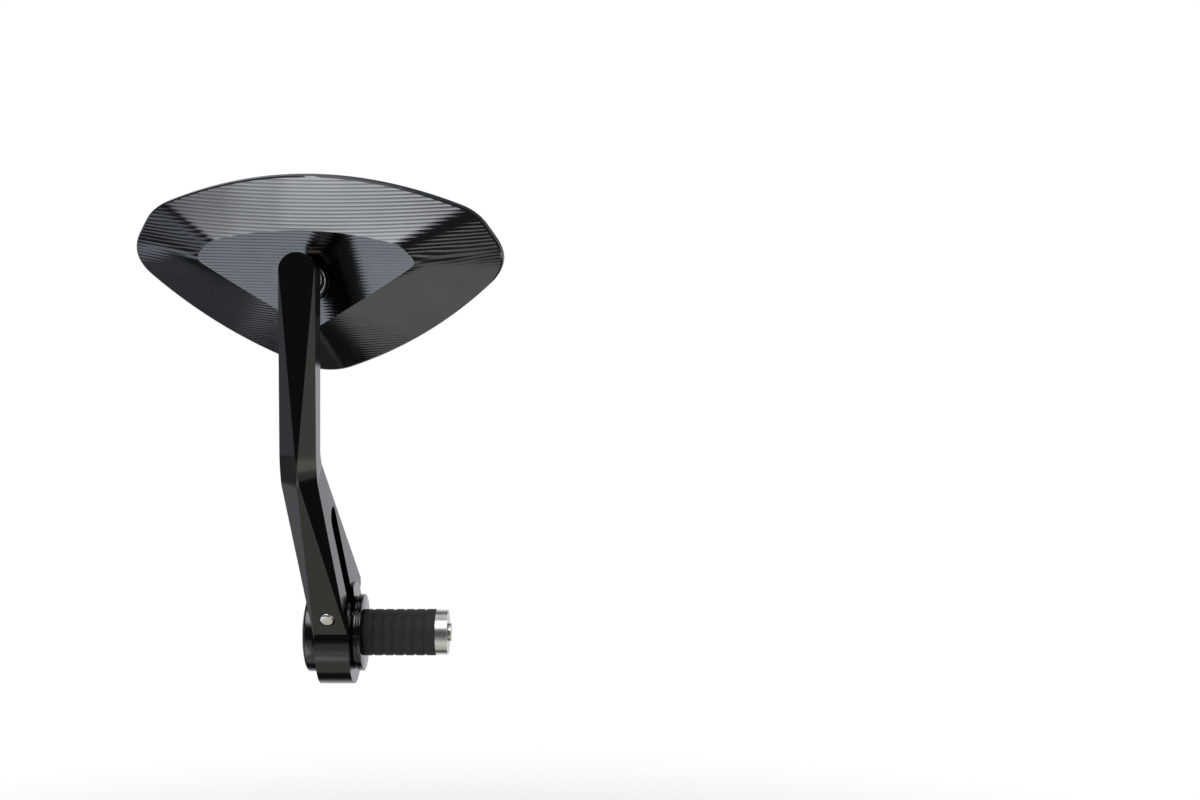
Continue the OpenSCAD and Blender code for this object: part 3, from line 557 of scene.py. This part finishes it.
def milling_rows():
    """Geometry Nodes tree that cuts the ball cutter's rows into the front face of a blank."""
    tree = bpy.data.node_groups.new("milling_rows", "GeometryNodeTree")
    face = tree.interface
    face.new_socket("Blank", in_out="INPUT", socket_type="NodeSocketGeometry")
    for name in ("Row step", "Row depth", "First ridge", "Land radius", "Land fade"):
        face.new_socket(name, in_out="INPUT", socket_type="NodeSocketFloat")
    face.new_socket("Finish", in_out="INPUT", socket_type="NodeSocketMaterial")
    face.new_socket("Milled", in_out="OUTPUT", socket_type="NodeSocketGeometry")
    given = node(tree, "NodeGroupInput").outputs
    maths = maths_in(tree)
    position = node(tree, "GeometryNodeInputPosition").outputs[0]
    place = node(tree, "ShaderNodeSeparateXYZ", {"Vector": position})
    above_ridge = maths("SUBTRACT", place.outputs["Z"], given["First ridge"])
    rows = maths("DIVIDE", above_ridge, given["Row step"])
    across = maths("SUBTRACT", maths("FRACT", rows), 0.5)
    scallop = maths("SUBTRACT", 1.0, maths("MULTIPLY", maths("MULTIPLY", across, across), 4.0))
    radius = maths("SQRT", maths("ADD", maths("MULTIPLY", place.outputs["X"], place.outputs["X"]),
                                 maths("MULTIPLY", place.outputs["Z"], place.outputs["Z"])))
    past_land = maths("DIVIDE", maths("SUBTRACT", radius, given["Land radius"]), given["Land fade"])
    fade = node(tree, "ShaderNodeClamp", {"Value": past_land}).outputs[0]
    front = node(tree, "GeometryNodeInputNamedAttribute", values={"Name": "milled"}, data_type="FLOAT")
    depth = maths("MULTIPLY", maths("MULTIPLY", scallop, given["Row depth"]),
                  maths("MULTIPLY", fade, front.outputs["Attribute"]))
    shift = node(tree, "ShaderNodeCombineXYZ", {"Y": depth})
    moved = node(tree, "GeometryNodeSetPosition",
                 {"Geometry": given["Blank"], "Offset": shift.outputs[0]})
    real = node(tree, "GeometryNodeRealizeInstances", {"Geometry": moved.outputs[0]})
    done = node(tree, "GeometryNodeSetMaterial",
                {"Geometry": real.outputs[0], "Material": given["Finish"]})
    node(tree, "NodeGroupOutput", {"Milled": done.outputs[0]})
    return tree


def set_inputs(modifier, tree, values):
    """Sets a Geometry Nodes modifier's inputs by their sockets' identifiers."""
    for item in tree.interface.items_tree:
        if item.item_type == "SOCKET" and item.in_out == "INPUT" and item.name in values:
            modifier[item.identifier] = values[item.name]


def milled_head():
    blank, first_ridge = head_blank()
    tree = milling_rows()
    rows = blank.modifiers.new("rows", "NODES")
    rows.node_group = tree
    set_inputs(rows, tree, {"Row step": ROW_STEP * MM, "Row depth": ROW_DEPTH * MM,
                            "First ridge": first_ridge * MM,
                            "Land radius": (NOSE_BORE + LAND_W) * MM,
                            "Land fade": LAND_FADE * MM, "Finish": milled})
    front, back = FLAT_N + 2 * OVERSHOOT, BACK_N - 2 * OVERSHOOT
    bore = lathe("bore", [(front, 0), (front, NOSE_BORE + NOSE_FLARE),
                          (FLAT_N - EDGE_BREAK, NOSE_BORE), (WALL_N, NOSE_BORE),
                          (WALL_N, FLANGE_BORE), (CLIP_N, FLANGE_BORE), (CLIP_N, CLIP_GROOVE),
                          (CLIP_N - CLIP_T, CLIP_GROOVE), (CLIP_N - CLIP_T, FLANGE_BORE),
                          (back, FLANGE_BORE), (back, 0)], ALONG_NORMAL, segments=128, ease=0)
    head = settled(cut(blank, bore), smooth_deg=9.0)
    head.data.transform(HEAD_FROM_MM)
    return fitted(head, "head", "milled_black", "mirror_shell", milled)


def convex_glass():
    """Convex glass with a ground, broken edge, silvered behind."""
    ring = mirrored(drawn_in(rim_half, BEZEL_W + GLASS_GAP)[::2])
    front_n = SEAT_N - TAPE_T

    def back(point):
        return front_n - GLASS_T + GLASS_R - math.sqrt(GLASS_R ** 2 - point @ point)

    verts = [(x, -front_n, z) for x, z in ring * GLASS_FRONT_SHARE]
    verts += [(x, -front_n + GLASS_EDGE_BREAK, z) for x, z in ring]
    verts += [(x, -back(np.array((x, z))) - GLASS_BACK_BREAK, z) for x, z in ring]
    for share in GLASS_RINGS:
        verts += [(x, -back(np.array((x, z))), z) for x, z in ring * share]
    count, centre = len(ring), len(verts)
    last = centre - count
    faces = bands(centre // count, count)
    faces.append(tuple(range(count)))
    verts.append((0, -back(np.zeros(2)), 0))
    faces += [(last + i, last + (i + 1) % count, centre) for i in range(count)]
    glass = settled(outward(made_object("convex_glass", verts, faces)), smooth_deg=20.0)
    for face in glass.data.polygons:
        face.material_index = 1 if abs(face.normal.y) < 0.9 else 0
    glass.data.transform(HEAD_FROM_MM)
    return fitted(glass, "head", "mirror", "mirror_glass", silvered, glass_edge)


def foam_pad():
    """Die-cut foam between shell and glass, with the hole that the joint is reached through."""
    ring = mirrored(drawn_in(rim_half, BEZEL_W + GLASS_GAP + TAPE_MARGIN)[::3])
    low = SEAT_N - TAPE_T
    high = low + TAPE_T
    verts, count = [], len(ring)
    for inset, level in ((TAPE_EDGE_IN, low), (0, low + TAPE_EDGE_UP), (0, high - TAPE_EDGE_UP),
                         (TAPE_EDGE_IN, high)):
        verts += [(x, -level, z) for x, z in ring * (1 - inset / TIP[0])]
    faces = bands(4, count)
    faces += [tuple(range(count)), tuple(range(4 * count - 1, 3 * count - 1, -1))]
    hole = rod(low - OVERSHOOT, high + OVERSHOOT, CLIP_GROOVE + TAPE_HOLE_GAP, ALONG_NORMAL)
    pad = settled(cut(outward(made_object("foam_pad", verts, faces)), hole))
    pad.data.transform(HEAD_FROM_MM)
    return fitted(pad, "head", "foam", "foam_tape", foam)


# ---------------------------------------------------------------- arm
def arm_sections():
    """Sections from the foot to the top: front line, direction, middle, thickness, bevel share."""
    ridge = math.radians(LEAN / 2)
    ring_join = CLAMP_R * RING_JOIN
    lower_whole = BEND_H + BEND_R * ridge - ring_join
    bevel_start = BALL.z - (BEND_C[1] - BEND_R * math.sin(ridge))

    def share(d, whole):
        return min(max(1 - d / whole, LEAST_BEVEL), MOST_BEVEL)

    def lower(h):
        front = AHEAD * FRONT_FACE + ALONG * h
        return ((front.y, front.z), (AHEAD.y, AHEAD.z),
                CLAMP_MID - ARM_OFFSET * (h - LUG_FOOT) / (BEND_H - LUG_FOOT),
                LUG_T - LUG_SLOPE * (h - LUG_FOOT), share(BEND_H + BEND_R * ridge - h, lower_whole))

    def bend(a):
        out = (-math.cos(a), -math.sin(a))
        whole = lower_whole if a > ridge else bevel_start
        return ((BEND_C[0] + BEND_R * out[0], BEND_C[1] + BEND_R * out[1]), out, BALL.x,
                UPPER_T + (BEND_T - UPPER_T) * a / math.radians(LEAN),
                share(BEND_R * abs(a - ridge), whole))

    def upper(z):
        return ((-REACH, z), (-1, 0), BALL.x, UPPER_T,
                share(z - BEND_C[1] + BEND_R * ridge, bevel_start))

    angles = [math.radians(LEAN) * k / BEND_STEPS for k in range(BEND_STEPS, -1, -1)]
    return ([lower(LUG_FOOT), lower(ring_join)] + [bend(a) for a in angles]
            + [upper(BALL.z), upper(BALL.z + ARM_W / 2)])


def arm_blade():
    """The arm's eight-sided sections joined up, before its ring and holes."""
    half, back = ARM_W / 2, BACK_BREAK
    verts = []
    sections = arm_sections()
    for front, out, middle, thick, share in sections:
        b, ridge = BEVEL_DEPTH * share, half * (1 - share)
        for x, depth in ((-half + back, thick), (-half, thick - back), (-half, b), (-ridge, 0),
                         (ridge, 0), (half, b), (half, thick - back), (half - back, thick)):
            verts.append((middle + x, front[0] - out[0] * depth, front[1] - out[1] * depth))
    faces = bands(len(sections), 8)
    faces += [tuple(range(8)), tuple(range(len(verts) - 1, len(verts) - 9, -1))]
    return outward(made_object("bent_arm", verts, faces))


def rod(x0, x1, r, place, segments=96):
    """Plain cutter or boss along the local X axis."""
    return lathe("rod", [(x0, 0), (x0, r), (x1, r), (x1, 0)], place, segments, ease=0)


def block(x0, x1, y0, y1, z0, z1, place):
    corners = [place @ Vector((x, y, z)) for x in (x0, x1) for y in (y0, y1) for z in (z0, z1)]
    faces = [(0, 1, 3, 2), (4, 6, 7, 5), (0, 4, 5, 1), (2, 3, 7, 6), (0, 2, 6, 4), (1, 5, 7, 3)]
    return outward(made_object("block", corners, faces))


def bent_arm():
    """Arm milled from one billet, with broken edges."""
    arm = cut(arm_blade(), rod(CLAMP_X0, CLAMP_X1, CLAMP_R, BAR, 160), "UNION")
    arm = cut(arm, rod(CLAMP_X0 - OVERSHOOT, CLAMP_X1 + OVERSHOOT, BAR_BORE_R, BAR, 128))
    arm = cut(arm, rod(CLAMP_X0 - ARM_OFFSET, CLAMP_X0, CAP_RELIEF_R, BAR, 128))
    heel = (Matrix.Translation(Vector((CLAMP_MID, 0, 0))) @ LEANING
            @ Matrix.Translation(Vector((0, LUG_T - FRONT_FACE, LUG_FOOT)))
            @ Matrix.Rotation(math.radians(45), 4, "X"))
    side = HEEL_CHAMFER / math.sqrt(2)
    arm = cut(arm, block(-ARM_W, ARM_W, -side, side, -side, side, heel))
    wide = (BALL.x - ARM_W, BALL.x + 2 * ARM_W)
    slot_end = LEANING @ Matrix.Translation(Vector((0, 0, SLOT_END - SLOT_HALF)))
    slot = cut(block(*wide, -SLOT_HALF, SLOT_HALF, 0, SLOT_END - SLOT_HALF, LEANING),
               rod(*wide, SLOT_HALF, slot_end), "UNION")
    arm = cut(arm, slot)
    arm = cut(arm, rod(-PINCH_SEAT - OVERSHOOT, FRONT_FACE + OVERSHOOT, PINCH_HOLE_R, PINCH, 48))
    arm = cut(arm, rod(-PINCH_SEAT - 2 * PINCH_HEAD_LEN, -PINCH_SEAT, PINCH_HEAD_R, PINCH, 64))
    # what is cut away above the ball, all but the rounded end round the stud
    above = block(BALL.x - ARM_W, BALL.x + ARM_W, -REACH - OVERSHOOT, -REACH + UPPER_T + OVERSHOOT,
                  BALL.z, BALL.z + ARM_W, BAR)
    top = (Matrix.Translation(Vector((BALL.x, -REACH, BALL.z)))
           @ Matrix.Rotation(math.radians(90), 4, "Z"))
    arm = cut(arm, cut(above, rod(-2 * OVERSHOOT, UPPER_T + 2 * OVERSHOOT, ARM_W / 2, top)))
    arm = cut(arm, rod(UPPER_T - STUD_HOLE_LEN, UPPER_T + OVERSHOOT, STUD_HOLE_R, top, 48))
    arm = settled(arm, smooth_deg=SHARP_DEG)
    bevel = arm.modifiers.new("edges", "BEVEL")
    bevel.width, bevel.segments, bevel.limit_method = EDGE_BREAK * MM, 2, "ANGLE"
    bevel.angle_limit = math.radians(SHARP_DEG)
    bevel.use_clamp_overlap = True
    arm = settled(arm)
    arm.modifiers.new("faces", "WEIGHTED_NORMAL").keep_sharp = True
    applied(arm)
    return fitted(arm, "arm", "black_anodised", "arm", brushed)


# ---------------------------------------------------------------- turned pieces
def bar_fitting():
    """Grooved spigot, spacer, cap and rubber plug, all turned or moulded round the bar axis."""
    g0, g1 = COLLAR_GROOVE
    spigot = lathe("grooved_spigot",
                   [(SLEEVE_X0, BOLT_HOLE_R), (SLEEVE_X0, SLEEVE_R), (COLLAR_X0, SLEEVE_R),
                    (COLLAR_X0, COLLAR_R), (g0, COLLAR_R), (g0, COLLAR_GROOVE_R),
                    (g1, COLLAR_GROOVE_R), (g1, COLLAR_R), (0, COLLAR_R), (0, BOLT_HOLE_R)],
                   BAR, segments=160, ease=0.12)
    fitted(settled(spigot), "bar_fitting", "black_anodised", "spigot", turned)
    spacer = lathe("spacer", [(SPACER_X0, BAR_BORE_R), (SPACER_X0, SPACER_R), (COLLAR_X0, SPACER_R),
                              (COLLAR_X0, BAR_BORE_R)], BAR, segments=160)
    fitted(settled(spacer), "bar_fitting", "black_anodised", "spacer_ring", turned)
    cap = lathe("coned_cap",
                [(CAP_X0, CAP_POCKET_R), (CAP_X0, CAP_FACE_R), CAP_CONE_FOOT, (CAP_EDGE_X, CAP_R),
                 (SLEEVE_X0, CAP_R), (SLEEVE_X0, BOLT_HOLE_R), (CAP_POCKET_X, BOLT_HOLE_R),
                 (CAP_POCKET_X, CAP_POCKET_R)], BAR, segments=160, ease=0.3)
    fitted(settled(cap), "bar_fitting", "black_anodised", "end_cap", turned)
    outside, floor_r = [(0, PLUG_R)], PLUG_R - PLUG_GROOVE_DEPTH
    for x in PLUG_GROOVES:
        outside += [(x - PLUG_GROOVE_HALF, PLUG_R), (x - PLUG_GROOVE_FLOOR, floor_r),
                    (x + PLUG_GROOVE_FLOOR, floor_r), (x + PLUG_GROOVE_HALF, PLUG_R)]
    inside = [(PLUG_LEN, PLUG_R), (PLUG_LEN, PLUG_MOUTH_R), (PLUG_THROAT_X, PLUG_THROAT_R),
              (PLUG_THROAT_X, BOLT_HOLE_R)]
    plug = lathe("grooved_rubber_plug", [(0, BOLT_HOLE_R)] + outside + inside, BAR, segments=160,
                 ease=0.35)
    fitted(settled(plug), "bar_fitting", "plug_rubber", "expander_plug", rubber)


def pinch_screw():
    """Cap screw: its plated tip stands out of the front face, its head sits sunk in the lug."""
    end = -PINCH_SEAT - PINCH_HEAD_LEN
    screw = lathe("pinch_cap_screw",
                  [(end, 0), (end, SCREW_HEAD_R), (-PINCH_SEAT, SCREW_HEAD_R), (-PINCH_SEAT, SCREW_R),
                   (SCREW_CHAMFER_X, SCREW_R), (SCREW_TIP_X, SCREW_TIP_R), (SCREW_TIP_X, 0)],
                  PINCH, segments=64, ease=0.25)
    screw = cut(screw, hexagon("socket", SCREW_SOCKET_R, end - OVERSHOOT, end + SCREW_SOCKET_DEPTH,
                               PINCH))
    fitted(settled(screw), "arm", "steel", "pinch_screw", zinc)


def ball_and_stud():
    """Hardened ball with its neck, spanner hexagon and threaded end in one."""
    arc = [(-BALL_R * math.cos(a), BALL_R * math.sin(a))
           for a in np.linspace(math.asin(NECK_R / BALL_R), math.pi, BALL_STEPS)]
    thread = [(STUD_END, 0), (STUD_END, STUD_R), (STUD_SHOULDER, STUD_R), (STUD_SHOULDER, NECK_R)]
    stud = lathe("ball_and_stud", thread + arc[:-1] + [(BALL_R, 0)], STUD)
    stud = settled(cut(stud, hexagon("flats", FLATS_R, *FLATS_X, STUD), "UNION"))
    inwards = STUD.inverted()
    for face in stud.data.polygons:
        face.material_index = int((inwards @ (face.center / MM)).x < POLISHED_TO)
    fitted(stud, "arm", "polished_steel", "ball_stud", polished, browned)


def ball_cup():
    """Turned cup of the ball joint, with the bare chamfer round its mouth."""
    pocket = [(POCKET_R * math.cos(a), POCKET_R * math.sin(a))
              for a in np.linspace(math.acos(MOUTH_X / POCKET_R), math.acos(CUP_SEAM / POCKET_R),
                                   POCKET_STEPS)]
    outside = [(CUP_BACK, CUP_BORE_R), (CUP_BACK, CUP_FLANGE_R), (CUP_SHOULDER, CUP_FLANGE_R),
               (CUP_SHOULDER, CUP_NOSE_R), (CUP_FRONT, CUP_NOSE_R), (CUP_FRONT, MOUTH_R)]
    place = SOCKET @ ALONG_NORMAL
    cup = settled(lathe("ball_cup", outside + pocket + [(CUP_SEAM, CUP_BORE_R)], place, segments=128,
                        ease=0.1))
    inwards = place.inverted()
    for face in cup.data.polygons:
        local = inwards @ (face.center / MM)
        face.material_index = int(local.x > CUP_BARE and math.hypot(local.y, local.z) < BARE_R)
    fitted(cup, "socket", "black_anodised", "socket_cup", turned, bare)


milled_head()
convex_glass()
foam_pad()
bent_arm()
bar_fitting()
pinch_screw()
ball_and_stud()
ball_cup()

FINISH_OF_NODE = {
    "centre_bolt": zinc, "lock_washer": spring, "expander_nut": zinc, "stud_washer": spring,
    "ball_seat": acetal, "closing_ring": turned, "slip_washer": sheet, "wave_washer": spring,
    "retaining_ring": spring,
}
for name, material in FINISH_OF_NODE.items():
    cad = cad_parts[name]
    cad.data.materials.clear()
    cad.data.materials.append(material)


# ---------------------------------------------------------------- studio
FLOOR_Z = -0.16
FLOOR_HALF = 4000                          # in millimetres, as all points of made_object
FLOOR_SHADE = 0.3, 0.6                     # shadow kept up to here and none beyond, in metres
FLOOR_WHITE = 0.55                         # share of pure white where the shadow is kept
BACKDROP_FROM, BACKDROP_FULL = 0.62, 0.85  # Y of a ray's direction where the backdrop begins
ROOM_FILL = 0.09
GLOW_AT = (-80, -50)                       # azimuth and elevation of the pale glow low on the left
GLOW_FROM, GLOW_FULL, GLOW = 0.86, 0.98, 0.42


def studio_floor():
    """Pale floor that looks white to the camera and keeps a faint shadow."""
    corners = [(x * FLOOR_HALF, y * FLOOR_HALF, 0) for x, y in ((-1, -1), (1, -1), (1, 1), (-1, 1))]
    floor = made_object("floor", corners, [(0, 1, 2, 3)])
    floor.location.z = FLOOR_Z
    floor.visible_glossy = False
    material = bpy.data.materials.new("pale_studio_floor")
    material.use_nodes = True
    tree = material.node_tree
    tree.nodes.clear()
    matt = node(tree, "ShaderNodeBsdfDiffuse", values={"Color": linear("#f2f2f2")})
    white = node(tree, "ShaderNodeEmission", values={"Color": (1, 1, 1, 1), "Strength": 1.0})
    camera = node(tree, "ShaderNodeLightPath").outputs["Is Camera Ray"]
    place = node(tree, "ShaderNodeTexCoord").outputs["Object"]
    radius = node(tree, "ShaderNodeVectorMath", {0: place}, operation="LENGTH")
    far = node(tree, "ShaderNodeMapRange", {"Value": radius.outputs["Value"]},
               {"From Min": FLOOR_SHADE[0], "From Max": FLOOR_SHADE[1], "To Min": FLOOR_WHITE,
                "To Max": 1.0}, interpolation_type="SMOOTHSTEP")
    share = maths_in(tree)("MULTIPLY", camera, far.outputs["Result"])
    mixed = node(tree, "ShaderNodeMixShader", {0: share, 1: matt.outputs[0], 2: white.outputs[0]})
    node(tree, "ShaderNodeOutputMaterial", {"Surface": mixed.outputs[0]})
    floor.data.materials.append(material)


def direction(azimuth, elevation):
    """Unit vector: azimuth 0 points from the object to the camera, and 90 along +X."""
    a, e = math.radians(azimuth), math.radians(elevation)
    return Vector((math.sin(a) * math.cos(e), -math.cos(a) * math.cos(e), math.sin(e)))


# Soft boxes and boards round the object: azimuth, elevation, width, height, tint, radiance.
# Each stands BOARD_DISTANCE from STUDIO_CENTRE and faces it.
BOARDS = {
    "key_soft_box": (-28, 43.5, 1.36, 0.8, "#ffffff", 1.5),
    "key_inner_box": (-23, 46, 0.98, 0.7, "#ffffff", 0.75),
    "key_narrow_box": (-17, 46, 0.72, 0.7, "#ffffff", 0.75),
    "key_core_box": (-28, 48.5, 1.36, 0.6, "#ffffff", 1.5),
    "overhead_board": (0, 90, 0.9, 0.9, "#ffffff", 1.0),
    "low_left_board": (-44, -48, 0.7, 0.66, "#e6ecf4", 1.3),
    "left_board": (-45, -38, 0.7, 0.9, "#e9edf2", 0.75),
    "far_left_board": (-91, -19, 0.4, 0.25, "#e2e8f2", 1.2),
    "left_strip": (-61, 0, 0.32, 0.5, "#dfe4ee", 0.95),
    "right_strip": (44, -10, 0.34, 1.0, "#ece6da", 1.25),
    "right_board": (84, 4, 0.5, 0.9, "#f6e8d0", 1.5),
    "low_right_board": (36, -33, 0.42, 0.5, "#efe9dc", 0.9),
    "front_low_board": (-14, -34, 0.36, 0.44, "#e8e8ea", 0.7),
    "left_fill": (-82, 3, 0.5, 0.17, "#e2e8f2", 1.0),
    "right_low_strip": (15.5, -11, 0.26, 0.14, "#ece6da", 1.5),
    "rear_left_board": (-125, 22, 0.5, 0.9, "#e8ecf2", 1.0),
    "rear_right_board": (125, 25, 0.5, 0.9, "#f6f2ea", 1.0),
    "rear_low_board": (170, -48, 0.9, 0.4, "#f2f2f2", 0.8),
}
BOARD_DISTANCE = 1.1
STUDIO_CENTRE = Vector((-0.01, -0.03, 0.1))


def emitter(name, place, turn, width, height, tint, radiance):
    """Area light of the given radiance, unseen by the camera."""
    lamp = bpy.data.lights.new(name, "AREA")
    lamp.shape, lamp.size, lamp.size_y = "RECTANGLE", width, height
    lamp.energy, lamp.color = radiance * math.pi * width * height, linear(tint)[:3]
    box = bpy.data.objects.new(name, lamp)
    box.location = place
    box.rotation_mode = "QUATERNION"
    box.rotation_quaternion = turn
    box.visible_camera = False
    bpy.context.scene.collection.objects.link(box)


def board(name, azimuth, elevation, *values):
    way = direction(azimuth, elevation)
    emitter(name, STUDIO_CENTRE + way * BOARD_DISTANCE, way.to_track_quat("Z", "Y"), *values)


def aimed_board(name, place, target, *values):
    way = (place - target).normalized()
    emitter(name, place, way.to_track_quat("Z", "Y"), *values)


def studio_lights():
    for name, values in BOARDS.items():
        board(name, *values)
    # small board close under the lower length of the arm, for its left bevel
    aimed_board("near_left_board", Vector((-0.188, -0.02, -0.14)), Vector((-0.015, -0.035, 0.04)),
                0.11, 0.11, "#f0f2f6", 1.3)
    # pale table in front of and below the object
    emitter("table_board", STUDIO_CENTRE + Vector((0.01, -0.52, -1.0)),
            Vector((0, 0, -1)).to_track_quat("Z", "Y"), 0.7, 1.26, "#f4efdf", 0.84)


def studio_world():
    """White for the camera, and for reflections of the backdrop behind the object; dim elsewhere."""
    world = bpy.data.worlds.new("studio")
    bpy.context.scene.world = world
    world.use_nodes = True
    tree = world.node_tree
    tree.nodes.clear()
    way = node(tree, "ShaderNodeTexCoord").outputs["Generated"]
    rays = node(tree, "ShaderNodeLightPath").outputs
    maths = maths_in(tree)
    rear = node(tree, "ShaderNodeSeparateXYZ", {"Vector": way}).outputs["Y"]
    backdrop = node(tree, "ShaderNodeMapRange", {"Value": rear},
                    {"From Min": BACKDROP_FROM, "From Max": BACKDROP_FULL},
                    interpolation_type="SMOOTHSTEP")
    mirrored = maths("MULTIPLY", maths("ADD", rays["Is Glossy Ray"], rays["Is Transmission Ray"]),
                     backdrop.outputs["Result"])
    share = maths("MINIMUM", maths("ADD", rays["Is Camera Ray"], mirrored), 1.0)
    lower_left = node(tree, "ShaderNodeVectorMath", {0: way}, {1: direction(*GLOW_AT)},
                      operation="DOT_PRODUCT")
    fill = node(tree, "ShaderNodeMapRange", {"Value": lower_left.outputs["Value"]},
                {"From Min": GLOW_FROM, "From Max": GLOW_FULL, "To Min": ROOM_FILL, "To Max": GLOW})
    room = node(tree, "ShaderNodeBackground", {"Strength": fill.outputs["Result"]},
                {"Color": linear("#f2f4f8")})
    white = node(tree, "ShaderNodeBackground", values={"Color": (1, 1, 1, 1), "Strength": 1.0})
    mixed = node(tree, "ShaderNodeMixShader", {0: share, 1: room.outputs[0], 2: white.outputs[0]})
    node(tree, "ShaderNodeOutputWorld", {"Surface": mixed.outputs[0]})


PHOTO_W, FOCAL_PX, SENSOR_W = 1200, 1685, 36.0   # width and focal length in pixels, sensor in mm
CAMERA_AT = (0.079, -0.567, 0.0781)


def camera_at_photo():
    """The photograph's view: level, looking along +Y."""
    camera = bpy.data.cameras.new("camera")
    camera.sensor_width, camera.lens = SENSOR_W, SENSOR_W * FOCAL_PX / PHOTO_W
    stand = bpy.data.objects.new("camera", camera)
    stand.location = CAMERA_AT
    stand.rotation_euler = (math.radians(90), 0, 0)
    bpy.context.scene.collection.objects.link(stand)
    bpy.context.scene.camera = stand


studio_floor()
studio_world()
studio_lights()
camera_at_photo()
bpy.context.scene.view_settings.view_transform = "Standard"
